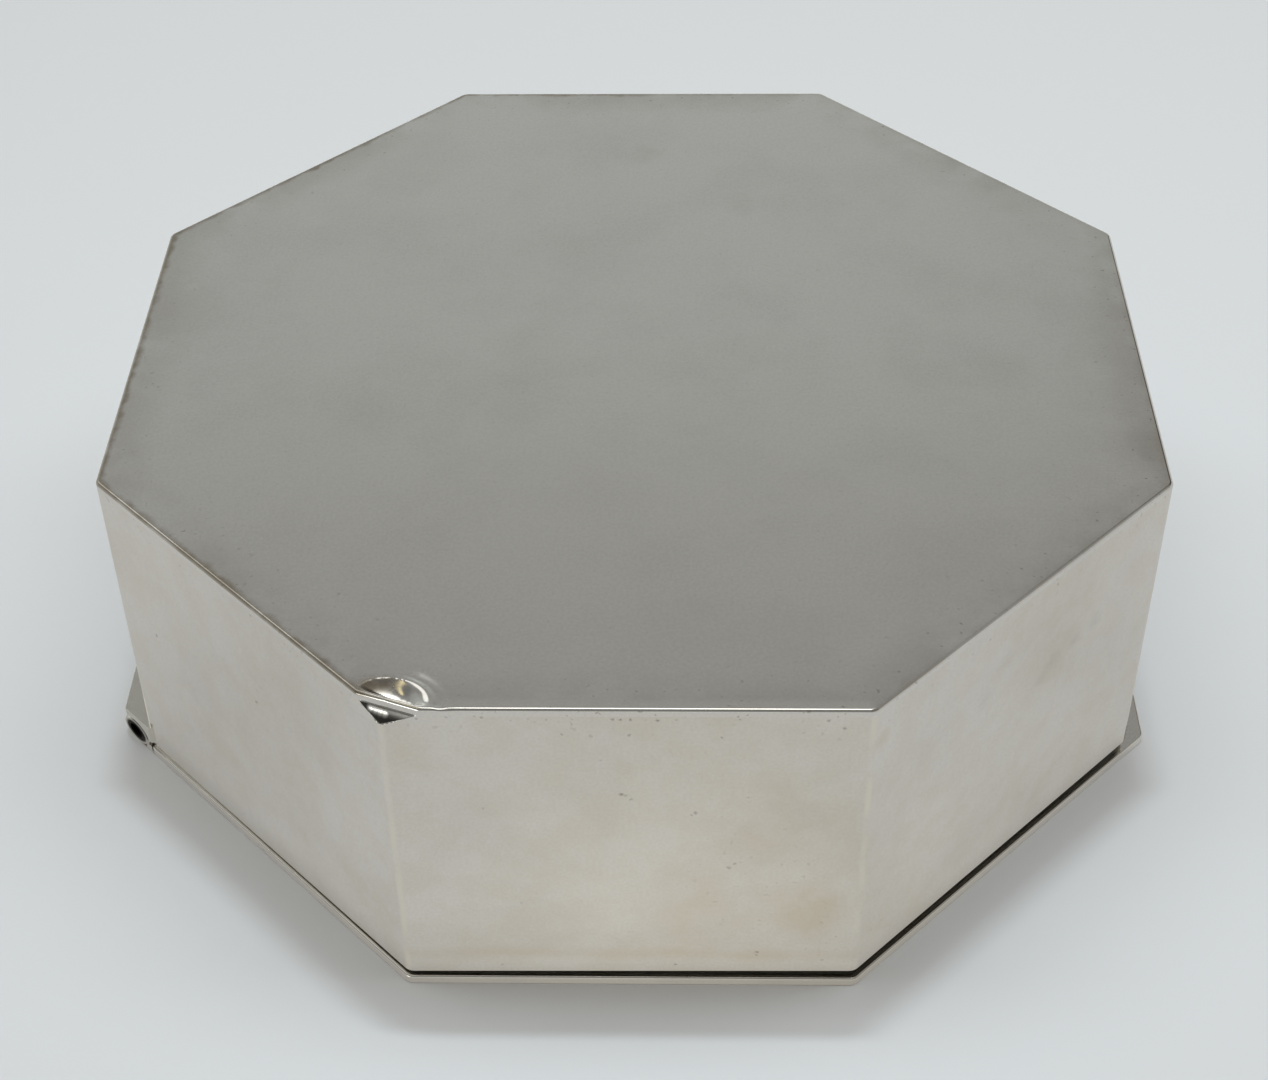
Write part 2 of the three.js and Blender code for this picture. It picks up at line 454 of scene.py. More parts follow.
@dataclass(frozen=True)
class WallFinish(SilverFinish):
    """The folded wall: warm blotches, a painted highlight along the folds, painted shade in the dented
    facet and over the foot of the front, nicks under the base.
    """

    base_level: float = 47.0 * MM
    highlight_band: float = 0.009
    shade_band_level: float = 5.4 * MM
    shade_band_half: float = 1.7 * MM
    front_from: float = 64.5 * MM
    blotches: Patches = Patches(34.0, 4.0, 0.6, 0.40, 0.75)
    flecks: Patches = Patches(220.0, 4.0, 0.65, 0.36, 0.66)
    fold_highlight_patches: Patches = Patches(110.0, 2.0, 0.5, 0.38, 0.62)
    speckled: Patches = Patches(40.0, 2.0, 0.5, 0.55, 0.75)
    dent: "Dent | None" = None
    painted_glints: tuple[Mark, ...] = ()

    def stain(self, place: Signal) -> Signal:
        """Yellowed in blotches and flecks, with painted shade in a line over the foot of the front.

        Args:
            place: Object coordinates.

        Returns:
            The mask.
        """
        _, y, _ = place.parts()
        _, _, level = place.wander(120.0, 0.9 * MM).parts()
        # Painted shade: a darker band over the foot of the front wall, for the shadow mirrored there.
        front = (y * -1.0).step(self.front_from, self.front_from + 0.4 * MM)
        line = abs(level - self.shade_band_level).step(self.shade_band_half, 0.0) * front
        patches = self.blotches.mask(place) * 0.40 + self.flecks.mask(place) * 0.50
        return patches + line * 0.65

    def painted_highlight(self, place: Signal) -> Signal | float:
        """Painted highlight: brighter along the eight folds, unevenly.

        Args:
            place: Object coordinates.

        Returns:
            The mask.
        """
        x, y, _ = place.wander(160.0, 0.3 * MM).parts()
        turn = y.math("ARCTAN2", y, x) - HALF_EIGHTH
        # Painted highlight along each fold.
        fold = turn.math("PINGPONG", turn, HALF_EIGHTH).step(self.highlight_band, 0.2 * self.highlight_band)
        return fold * self.fold_highlight_patches.mask(place) * 0.7

    def wear(self, place: Signal) -> Signal:
        """Nicks just under the base, and a few strays."""
        _, _, z = place.parts()
        return z.step(0.90 * self.base_level, self.base_level) + self.speckled.mask(place) * 0.5

    def painted_shade(self, place: Signal) -> Signal | float:
        """Painted shade: black in the facet under the knocked-in corner, thinner high up on the right and
        on the painted glints.

        Args:
            place: Object coordinates.

        Returns:
            The mask.
        """
        if self.dent is None:
            return 0.0
        dent = self.dent
        x, y, z = place.parts()
        side = (x - dent.corner[0]) * FOLD_COS - (y - dent.corner[1]) * FOLD_SIN
        depth = z * -1.0 + dent.plate_level
        room = abs(side) * -FOLD_TANGENT + side * dent.tilt + dent.chord - dent.facet_inset
        room = (room * (1.0 / (dent.chord - dent.crease_push))).larger(0.0)
        limit = room.math("POWER", room, 1.0 / dent.facet_power) * dent.facet_drop
        facet = (limit - depth).step(0.0, 0.10 * MM) * depth.step(0.02 * MM, 0.12 * MM)
        facet = facet * place.near((*dent.corner, dent.plate_level), 9.0 * MM).step(0.0, 0.2)
        # Painted shade eased high up on the right, with painted glints lifting it.
        thin = depth.step(0.75 * dent.facet_drop, 0.05 * MM) * side.step(-1.5 * MM, 1.2 * MM) * 0.55
        for glint in self.painted_glints:
            thin = thin.larger(glint.mask(place))
        return facet * (1.0 - thin) * 0.96


@dataclass(frozen=True)
class LidFinish(SilverFinish):
    """The lid: clean outside, with painted shade where the wall's rim comes down on it and along its edge.
    """

    rim: float = 65.0 * MM
    shade_from: float = 62.6 * MM
    thickness: Patches = Patches(90.0, 3.0, 0.5, 0.30, 0.70)

    def stain(self, place: Signal) -> Signal:
        """Dull painted shade along the edge that stands out under the wall, but not on the lip, and tarnish
        in faint blotches.

        Args:
            place: Object coordinates.

        Returns:
            The mask.
        """
        x, _, _ = place.parts()
        # Painted shade: the edge is darkened as if it mirrored the shadow on the floor.
        edge = octagon_distance(place).step(self.rim - 0.2 * MM, self.rim + 0.2 * MM)
        edge = edge * x.step(self.rim + 0.4 * MM, self.rim - 1.0 * MM)
        return edge * 0.6 + self.blotches.mask(place) * 0.4

    def painted_shade(self, place: Signal) -> Signal | float:
        """Painted shade: dark in the corner under the rim, on the inner side, unevenly.

        Args:
            place: Object coordinates.

        Returns:
            The mask.
        """
        _, _, z = place.parts()
        away = octagon_distance(place.wander(300.0, 0.3 * MM))
        ring = away.step(self.shade_from, self.shade_from + 0.6 * MM)
        ring = ring * away.step(self.rim - 0.1 * MM, self.rim - 0.7 * MM)
        thick = self.thickness.mask(place) * 0.4 + 0.4
        return ring * thick * z.step(0.9 * MM, 1.1 * MM)


@dataclass(frozen=True)
class InnerFinish(SilverFinish):
    """The band inside the lid: satin, with painted shade at its foot."""

    foot: float = 1.2 * MM

    def painted_shade(self, place: Signal) -> Signal | float:
        """Painted shade: dark from the foot up, unevenly."""
        _, _, z = place.wander(300.0, 0.4 * MM).parts()
        return z.step(self.foot + 2.4 * MM, self.foot + 0.4 * MM) * 0.75


@dataclass(frozen=True)
class HingeFinish(SilverFinish):
    """The hinge: duller silver, with painted shade, black, inside the tubes."""

    axis_x: float = 0.0
    axis_z: float = 0.0
    bore: float = 1.0 * MM

    def painted_shade(self, place: Signal) -> Signal | float:
        """Painted shade: black within the bore, over the wire and the tube ends round it.

        Args:
            place: Object coordinates.

        Returns:
            The mask.
        """
        x, _, z = place.parts()
        along, up = x - self.axis_x, z - self.axis_z
        away = along.math("SQRT", along * along + up * up)
        return away.step(1.80 * self.bore, 1.30 * self.bore)


@dataclass(frozen=True)
class Dent:
    """The knocked-in corner of the base and of the wall under it.

    The corner is pushed in to a straight edge, the base buckles into a hollow behind that edge, and
    the wall folds into a small three-sided facet under it.
    """

    corner: tuple[float, float]
    plate_level: float
    fold: float
    edge_round: float
    chord: float = 1.57 * MM
    tilt: float = 0.04
    soft_ends: float = 0.12 * MM
    fade: float = 6.5 * MM
    hollow_depth: float = 1.25 * MM
    hollow_middle: float = 0.6 * MM
    hollow_length: float = 4.2 * MM
    hollow_width: float = 3.1 * MM
    bowl_power: float = 1.8
    front_wall: float = 1.0 * MM
    ring_depth: float = 0.15 * MM
    ring_place: float = 1.27
    ring_inner: float = 0.11
    ring_outer: float = 0.32
    facet_inset: float = 0.20 * MM
    facet_drop: float = 1.45 * MM
    facet_power: float = 1.5
    facet_dish: float = 0.08 * MM
    facet_cup: float = 0.22 * MM
    crease_push: float = 0.35 * MM
    crease_reach: float = 5.0 * MM

    def local(self, point: Vector) -> tuple[float, float]:
        """Distances from the corner, sideways and inwards along its bisector."""
        east, north = point.x - self.corner[0], point.y - self.corner[1]
        return FOLD_COS * east - FOLD_SIN * north, FOLD_SIN * east + FOLD_COS * north

    def outline(self, side: float) -> float:
        """Inward distance of the sound corner's outline, with its fold.

        Args:
            side: sideways distance from the corner.

        Returns:
            The distance along the bisector.
        """
        if abs(side) < self.fold * FOLD_SIN:
            return self.fold / FOLD_COS - math.sqrt(self.fold**2 - side**2)
        return FOLD_TANGENT * abs(side)

    @staticmethod
    def soft_part(value: float, softness: float) -> float:
        """The positive part of a value, with a soft start."""
        held = min(max(value, -softness), softness)
        return (held + softness) ** 2 / (4 * softness) + max(0.0, value - softness)

    @staticmethod
    def ease(value: float, low: float, high: float) -> float:
        """Smooth rise from 0 at low to 1 at high."""
        share = min(1.0, max(0.0, (value - low) / (high - low)))
        return share * share * (3.0 - 2.0 * share)

    def push(self, side: float, depth: float) -> float:
        """How far the outline is pushed in.

        Args:
            side: sideways distance from the corner.
            depth: distance below the base sheet.

        Returns:
            The push along the bisector.
        """
        share = depth / self.facet_drop
        crease = self.crease_push * max(0.0, 1.0 - (side / self.hollow_length) ** 2)
        crease *= max(0.0, 1.0 - depth / self.crease_reach) ** 2
        drop = (self.chord - self.crease_push) * share**self.facet_power - self.tilt * side
        dish = self.facet_dish * math.sin(math.pi * min(1.0, share))
        dish += self.facet_cup * min(1.0, share) * max(0.0, 1.0 - (side * FOLD_TANGENT / self.chord) ** 2)
        knocked = self.chord - drop + dish - self.outline(side)
        if depth > 0.0:
            knocked = self.soft_part(knocked - self.facet_inset, 0.05 * MM)
        else:
            knocked = self.soft_part(knocked, self.soft_ends)
        return max(knocked, crease if depth > 0.0 else 0.0)

    def hollow(self, side: float, inward: float) -> float:
        """Depth of the hollow behind the new edge.

        Args:
            side: sideways distance from the corner.
            inward: inward distance from the corner, after the push.

        Returns:
            The depth, from 0.
        """
        behind = inward - self.chord - self.tilt * side - self.edge_round
        if behind <= 0.0:
            return 0.0
        along = (side - self.hollow_middle) / self.hollow_length
        reach = math.hypot(along, behind / self.hollow_width)
        right = self.ease(along, -0.25, 0.35)
        sharp = max(0.0, 1.0 - reach**self.bowl_power)
        soft = math.exp(-((reach / 0.78) ** 4))
        width = self.ring_inner if reach < self.ring_place else self.ring_outer
        ring = self.ring_depth * right * math.exp(-(((reach - self.ring_place) / width) ** 2))
        bowl = self.hollow_depth * (sharp + (soft - sharp) * right) + ring
        return bowl * self.ease(behind, 0.0, self.front_wall)

    def press(self, point: Vector) -> Vector:
        """Where a point of the sheet goes.

        Args:
            point: its place before the knock.

        Returns:
            Its place after it.
        """
        side, inward = self.local(point)
        depth = max(0.0, self.plate_level - point.z - 1e-7)
        behind = max(0.0, inward - self.outline(side))
        push = self.push(side, depth) * max(0.0, 1.0 - behind / self.fade)
        moved = point.copy()
        moved.x += FOLD_SIN * push
        moved.y += FOLD_COS * push
        if depth == 0.0:
            moved.z -= self.hollow(side, inward + push)
        return moved


class Workpiece:
    """One mesh under the hands: added as a primitive, then selected, cut, bevelled and finished."""

    def __init__(self, name: str, add: Callable[..., Any], **sizes: Any) -> None:
        """Add the primitive that the piece starts from.

        Args:
            name: the piece's name.
            add: the operator that adds the primitive.
            sizes: the operator's settings.
        """
        bpy.ops.object.select_all(action="DESELECT")
        add(**sizes)
        self.obj = bpy.context.view_layer.objects.active
        self.obj.name = name
        self.obj.data.name = name
        bpy.ops.object.transform_apply(location=True, rotation=True, scale=True)

    def activate(self) -> None:
        """Select this piece alone."""
        bpy.ops.object.select_all(action="DESELECT")
        self.obj.select_set(True)
        bpy.context.view_layer.objects.active = self.obj

    def edit(self) -> None:
        """Enter edit mode with everything selected."""
        self.activate()
        bpy.ops.object.mode_set(mode="EDIT")
        bpy.ops.mesh.select_all(action="SELECT")

    def leave(self) -> None:
        """Leave edit mode."""
        bpy.ops.object.mode_set(mode="OBJECT")

    def pick(self, kind: Pick, test: Callable[[Any], bool]) -> int:
        """Select what passes a test, in edit mode.

        Args:
            kind: what is selected.
            test: takes a vertex, edge or face.

        Returns:
            How many were selected.
        """
        bpy.context.tool_settings.mesh_select_mode = kind.value
        mesh = bmesh.from_edit_mesh(self.obj.data)
        mesh.normal_update()
        for sequence in (mesh.faces, mesh.edges, mesh.verts):
            for element in sequence:
                element.select_set(False)
        sequence = {Pick.VERTS: mesh.verts, Pick.EDGES: mesh.edges, Pick.FACES: mesh.faces}[kind]
        chosen = [element for element in sequence if test(element)]
        for element in chosen:
            element.select_set(True)
        mesh.select_flush_mode()
        bmesh.update_edit_mesh(self.obj.data)
        return len(chosen)

    def bevel(self, width: float, steps: int) -> None:
        """Round the selected edges."""
        bpy.ops.mesh.bevel(offset_type="OFFSET", offset=width, segments=steps, profile=0.5, affect="EDGES")

    def trim(self, point: Point, outward: Point, fill: bool) -> None:
        """Cut off all that lies beyond a plane, on its outward side, and close the cut if asked."""
        bpy.ops.mesh.select_all(action="SELECT")
        bpy.ops.mesh.bisect(plane_co=point, plane_no=outward, clear_outer=True, use_fill=fill)

    def slice(self, point: Point, normal: Point, test: Callable[[Any], bool]) -> None:
        """Cut new edges into the faces that pass a test."""
        if self.pick(Pick.FACES, test):
            bpy.ops.mesh.bisect(plane_co=point, plane_no=normal)

    def move_points(self, move: Callable[[Vector], Vector]) -> None:
        """Put every vertex where a function says.

        Args:
            move: takes a place and returns the new one.
        """
        for vertex in self.obj.data.vertices:
            vertex.co = move(vertex.co)
        self.obj.data.update()

    def apply(self, kind: str, **settings: Any) -> None:
        """Add a modifier and apply it.

        Args:
            kind: the modifier's type.
            settings: its settings.
        """
        self.activate()
        modifier = self.obj.modifiers.new(kind.lower(), kind)
        for key, value in settings.items():
            setattr(modifier, key, value)
        bpy.ops.object.modifier_apply(modifier=modifier.name)

    def cut(self, cutter: "Workpiece") -> None:
        """Take another piece's shape out of this one, and drop the other."""
        self.apply("BOOLEAN", operation="DIFFERENCE", solver="EXACT", object=cutter.obj)
        bpy.data.objects.remove(cutter.obj)

    def smooth(self, angle: float = SHARP_ANGLE) -> None:
        """Shade smooth, with flat faces kept flat.

        Args:
            angle: the largest angle between faces that is shaded smooth.
        """
        self.activate()
        bpy.ops.object.shade_smooth_by_angle(angle=angle)
        self.apply("WEIGHTED_NORMAL", keep_sharp=True, weight=100)

    def soften(self, width: float, steps: int) -> None:
        """Round every sharp edge and shade the piece."""
        self.apply("BEVEL", width=width, segments=steps, limit_method="ANGLE", angle_limit=SHARP_ANGLE)
        self.smooth()

    def copy(self, name: str, place: Matrix) -> "Workpiece":
        """Copy the piece with a mesh of its own.

        Args:
            name: the copy's name.
            place: how the copy's mesh is moved or mirrored.

        Returns:
            The copy.
        """
        twin = Workpiece.__new__(Workpiece)
        twin.obj = self.obj.copy()
        twin.obj.data = self.obj.data.copy()
        twin.obj.name = name
        twin.obj.data.name = name
        bpy.context.scene.collection.objects.link(twin.obj)
        twin.obj.data.transform(place)
        if place.determinant() < 0:
            twin.edit()
            bpy.ops.mesh.normals_make_consistent(inside=False)
            twin.leave()
        return twin

    def dress(self, node: str, body: Body, slot: Slot, material: bpy.types.Material) -> None:
        """Hand the finished piece over to the frame.

        Args:
            node: the solid that it stands for.
            body: the body that it rides on.
            slot: its slot in the record, which is not used here.
            material: its finish.
        """
        self.obj.data.materials.clear()
        self.obj.data.materials.append(material)
        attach(self.obj, body.value)
        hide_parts(node)
        triangles = sum(len(face.vertices) - 2 for face in self.obj.data.polygons)
        log.info("%s for %s on %s: %d triangles", self.obj.name, node, body.value, triangles)


def block(name: str, low: Vector, high: Vector) -> Workpiece:
    """A block between two corners."""
    place = {"location": (low + high) / 2, "scale": high - low}
    return Workpiece(name, bpy.ops.mesh.primitive_cube_add, size=1.0, **place)


def octagon(name: str, face: float, bottom: float, top: float, ends: str) -> Workpiece:
    """An upright prism with eight sides.

    Args:
        name: the piece's name.
        face: distance of its sides from the middle.
        bottom: its lower level.
        top: its upper level.
        ends: how the operator fills its ends.

    Returns:
        The prism.
    """
    return Workpiece(
        name,
        bpy.ops.mesh.primitive_cylinder_add,
        vertices=8,
        radius=face / FOLD_COS,
        depth=top - bottom,
        end_fill_type=ends,
        location=(0.0, 0.0, (bottom + top) / 2),
        rotation=(0.0, 0.0, HALF_EIGHTH),
    )


def above(edge: bmesh.types.BMEdge, level: float) -> bool:
    """Whether all of an edge is above a level."""
    return all(v.co.z > level for v in edge.verts)


def is_upright(edge: bmesh.types.BMEdge) -> bool:
    """Whether an edge runs along Z."""
    run = edge.verts[0].co - edge.verts[1].co
    return abs(run.z) > 0.9 * run.length


def folded_band(name: str, face: float, sheet: float, fold: float, bottom: float, top: float) -> Workpiece:
    """A strip folded into an open eight-sided band, without its thickness.

    Args:
        name: the piece's name.
        face: distance of its outer sides from the middle.
        sheet: its thickness, which sets the outer fold radius.
        fold: the inner fold radius.
        bottom: its lower level.
        top: its upper level.

    Returns:
        The band's outer skin.
    """
    band = octagon(name, face, bottom, top, "NOTHING")
    band.edit()
    band.pick(Pick.EDGES, is_upright)
    band.bevel((fold + sheet) * FOLD_TANGENT, FOLD_STEPS)
    band.leave()
    return band


def marks(*rows: tuple[float, ...]) -> tuple[Mark, ...]:
    """Marks from rows of a place and a reach in millimetres, and a share."""
    return tuple(Mark(row[:3], *row[3:]) for row in rows)


BASE_STAINS = marks(
    (0.5, 46.6, 47.0, 4.0, 0.14), (14.7, 33.6, 47.0, 3.5, 0.10), (-60.0, 8.0, 47.0, 9.0, 0.10),
    (52.0, 36.0, 47.0, 10.0, 0.10), (63.0, -22.0, 47.0, 7.0, 0.14), (-62.0, -25.0, 47.0, 7.0, 0.14),
)
# The first three are partly patina and partly painted shade on the left of the dent's hollow; the rest are
# nicks.
BASE_NICKS_AND_DENT_SHADE = marks(
    (-27.7, -61.0, 46.5, 1.9, 0.85), (-28.6, -61.4, 46.7, 1.5, 0.80), (-26.2, -60.8, 46.6, 1.6, 0.75),
    (-28.3, -50.9, 47.0, 0.36, 0.30), (-27.6, -50.7, 47.0, 0.30, 0.24), (-33.1, -46.7, 47.0, 0.38, 0.26),
    (-32.3, -46.8, 47.0, 0.28, 0.22), (36.5, -43.5, 47.0, 0.30, 0.25), (-44.0, -40.0, 47.0, 0.45, 0.28),
)
# Painted glints: a light streak across the painted shade in the dented facet.
FACET_PAINTED_GLINTS = marks(
    (-27.7, -63.30, 45.60, 0.75), (-27.2, -63.50, 45.52, 0.80), (-26.7, -63.70, 45.44, 0.80),
    (-26.2, -63.90, 45.38, 0.75),
)
WALL_STAINS = marks(
    (7.0, -65.0, 14.0, 11.0, 0.20), (17.3, -65.0, 28.0, 12.0, 0.18), (20.5, -65.0, 14.0, 7.0, 0.44),
    (21.7, -65.0, 9.5, 5.0, 0.14), (-24.0, -65.0, 39.0, 6.0, 0.14), (-16.0, -65.0, 10.0, 8.0, 0.10),
    (26.9, -64.6, 41.0, 2.4, 0.42), (46.0, -46.0, 41.6, 6.0, 0.16), (51.0, -40.5, 32.5, 7.0, 0.18),
    (-50.0, -42.0, 14.0, 10.0, 0.12),
)
WALL_NICKS = marks(
    (-0.7, -65.0, 33.6, 0.42, 0.7), (-0.2, -65.0, 33.4, 0.30, 0.5), (0.4, -65.0, 32.8, 0.26, 0.6),
    (7.6, -65.0, 30.6, 0.36, 0.6), (7.2, -65.0, 30.2, 0.26, 0.4), (11.5, -65.0, 21.2, 0.40, 0.5),
    (12.2, -65.0, 21.9, 0.26, 0.5), (15.1, -65.0, 5.8, 0.34, 0.6), (15.0, -65.0, 5.2, 0.26, 0.4),
    (-1.5, -65.0, 45.6, 0.32, 0.8), (-0.6, -65.0, 45.6, 0.28, 0.8), (0.5, -65.0, 45.6, 0.30, 0.7),
    (3.4, -65.0, 45.5, 0.32, 0.8), (-19.5, -65.0, 46.0, 0.36, 0.8), (-15.6, -65.0, 45.8, 0.30, 0.7),
    (21.9, -65.0, 45.6, 0.30, 0.6), (23.7, -65.0, 44.4, 0.34, 0.6), (-7.0, -65.0, 43.2, 0.28, 0.5),
    (-3.9, -65.0, 43.0, 0.26, 0.5), (0.3, -65.0, 43.2, 0.28, 0.6), (10.4, -65.0, 42.8, 0.28, 0.6),
    (-2.9, -65.0, 39.2, 0.24, 0.5), (-16.3, -65.0, 31.2, 0.24, 0.5), (13.5, -65.0, 33.2, 0.28, 0.4),
    (-12.7, -65.0, 14.7, 0.24, 0.5), (5.4, -65.0, 3.3, 0.32, 0.6), (-15.5, -65.0, 3.1, 0.28, 0.5),
    (50.4, -41.5, 31.8, 2.4, 0.11), (43.4, -48.5, 38.3, 2.6, 0.08), (56.0, -35.9, 33.1, 2.2, 0.08),
    (48.9, -43.1, 30.0, 1.9, 0.08), (53.3, -38.6, 32.3, 1.6, 0.09), (41.1, -50.8, 34.4, 2.2, 0.06),
    (-59.7, -32.3, 26.5, 0.40, 0.6), (-44.5, -47.5, 30.2, 0.40, 0.6),
)


@dataclass
class BoxBody:
    """The deep part: the base sheet on the end of the folded wall."""

    sheet: float = 0.9 * MM
    fold_inside: float = 0.6 * MM
    edge_round: float = 0.45 * MM
    rim_round: float = 0.28 * MM
    gap_at_hinge: float = 0.05 * MM
    gap_at_lip: float = 1.25 * MM
    fine_step: float = 0.15 * MM
    dent_zone: float = 8.7 * MM
    dent_drop: float = 3.2 * MM
    wall_low: Vector = field(init=False)
    wall_high: Vector = field(init=False)
    base_low: Vector = field(init=False)
    base_high: Vector = field(init=False)
    dent: Dent = field(init=False)

    def __post_init__(self) -> None:
        """Read the sizes of the solids."""
        self.wall_low, self.wall_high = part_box("side_band")
        self.base_low, self.base_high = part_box("base_plate")
        face = self.wall_high.x
        corner = (-face * FOLD_TANGENT, -face)
        self.dent = Dent(corner, self.base_low.z, self.fold_inside + self.sheet, self.edge_round)

    def steps(self, middle: float, before: float, after: float) -> list[float]:
        """Even cuts round a value, from before it to after it."""
        count = round((before + after) / self.fine_step)
        return [middle - before + (i + 0.5) * self.fine_step for i in range(count)]

    def base_sheet(self) -> Workpiece:
        """Model the base: a flat sheet with a rounded edge and one knocked-in corner.

        Returns:
            The sheet.
        """
        low, high = self.base_low, self.base_high
        sheet = octagon("base_sheet", high.x, low.z, high.z, "NGON")
        sheet.edit()
        sheet.pick(Pick.EDGES, is_upright)
        sheet.bevel(self.dent.fold * FOLD_TANGENT, FOLD_STEPS)
        sheet.pick(Pick.EDGES, lambda edge: above(edge, high.z - HAIR))
        sheet.bevel(self.edge_round, 9)
        self.cut_dent_zone(sheet)
        sheet.leave()
        sheet.move_points(self.dent.press)
        sheet.smooth(math.radians(14.0))
        return sheet

    def cut_dent_zone(self, piece: Workpiece) -> None:
        """Cut a fine net into a sheet round the corner that is knocked in.

        Args:
            piece: the sheet, in edit mode.
        """
        east, north = self.dent.corner
        zone = self.dent_zone
        rear, floor = north + zone, self.base_high.z - self.dent_drop

        def beside(face: bmesh.types.BMFace) -> bool:
            """Whether a face reaches into the front left of the box."""
            return any(v.co.x < east + 2 * zone and v.co.y < north + 4 * zone for v in face.verts)

        def ahead(face: bmesh.types.BMFace) -> bool:
            """Whether all of a face is as far forward and as high as the dent."""
            return all(v.co.y < rear + HAIR and v.co.z > floor - HAIR for v in face.verts)

        def inside(face: bmesh.types.BMFace) -> bool:
            """Whether all of a face is in the dent's surroundings."""
            return ahead(face) and all(abs(v.co.x - east) < zone + HAIR for v in face.verts)

        piece.slice((0.0, 0.0, floor), (0.0, 0.0, 1.0), beside)
        piece.slice((0.0, rear, 0.0), (0.0, 1.0, 0.0), beside)
        for x in (east - zone, east + zone):
            piece.slice((x, 0.0, 0.0), (1.0, 0.0, 0.0), ahead)
        for x in self.steps(east, zone, zone):
            piece.slice((x, 0.0, 0.0), (1.0, 0.0, 0.0), inside)
        for y in self.steps(north, 0.0, zone):
            piece.slice((0.0, y, 0.0), (0.0, 1.0, 0.0), inside)
        for z in self.steps(self.base_high.z, self.dent_drop, 0.0):
            piece.slice((0.0, 0.0, z), (0.0, 0.0, 1.0), inside)

    def wall_band(self) -> Workpiece:
        """Model the wall: one strip folded to eight sides, its rim cut a little off level.

        Returns:
            The wall.
        """
        low, high = self.wall_low, self.wall_high
        lid_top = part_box("lid_plate")[1].z
        band = folded_band("wall_band", high.x, self.sheet, self.fold_inside, lid_top / 2, high.z)
        rise = (self.gap_at_lip - self.gap_at_hinge) / (high.x - low.x)
        band.edit()
        band.trim((low.x, 0.0, lid_top + self.gap_at_hinge), (rise, 0.0, -1.0), False)
        band.leave()
        band.apply("SOLIDIFY", thickness=self.sheet, offset=-1.0, use_even_offset=True)
        band.edit()

        def on_rim(edge: bmesh.types.BMEdge) -> bool:
            """Whether an edge runs along the rim's inner or outer line."""
            heights = [v.co.z - lid_top - self.gap_at_hinge - rise * (v.co.x - low.x) for v in edge.verts]
            return all(abs(height) < 0.05 * MM for height in heights) and edge.calc_face_angle(0.0) > 1.0

        band.pick(Pick.EDGES, on_rim)
        band.bevel(self.rim_round, 3)
        self.cut_dent_zone(band)
        band.leave()
        band.move_points(self.dent.press)
        band.smooth(math.radians(28.0))
        return band

    def build(self) -> None:
        """Model and dress the base and the wall."""
        base_finish = BaseFinish(
            "polished_base",
            edge=self.base_high.x,
            top=self.base_high.z,
            tarnish=(0.46, 0.415, 0.35),
            pit=(0.30, 0.26, 0.21),
            haze=0.03,
            cloud_share=0.32,
            tarnish_share=0.8,
            stains=BASE_STAINS,
            nicks=BASE_NICKS_AND_DENT_SHADE,
        )
        wall_finish = WallFinish(
            "polished_wall",
            base_level=self.base_high.z,
            tarnish=(0.79, 0.71, 0.57),
            cloud_share=0.30,
            tarnish_share=0.4,
            stains=WALL_STAINS,
            nicks=WALL_NICKS,
            dent=self.dent,
            painted_glints=FACET_PAINTED_GLINTS,
        )
        self.base_sheet().dress("base_plate", Body.BOX, Slot.POLISHED, base_finish.material())
        self.wall_band().dress("side_band", Body.BOX, Slot.POLISHED, wall_finish.material())


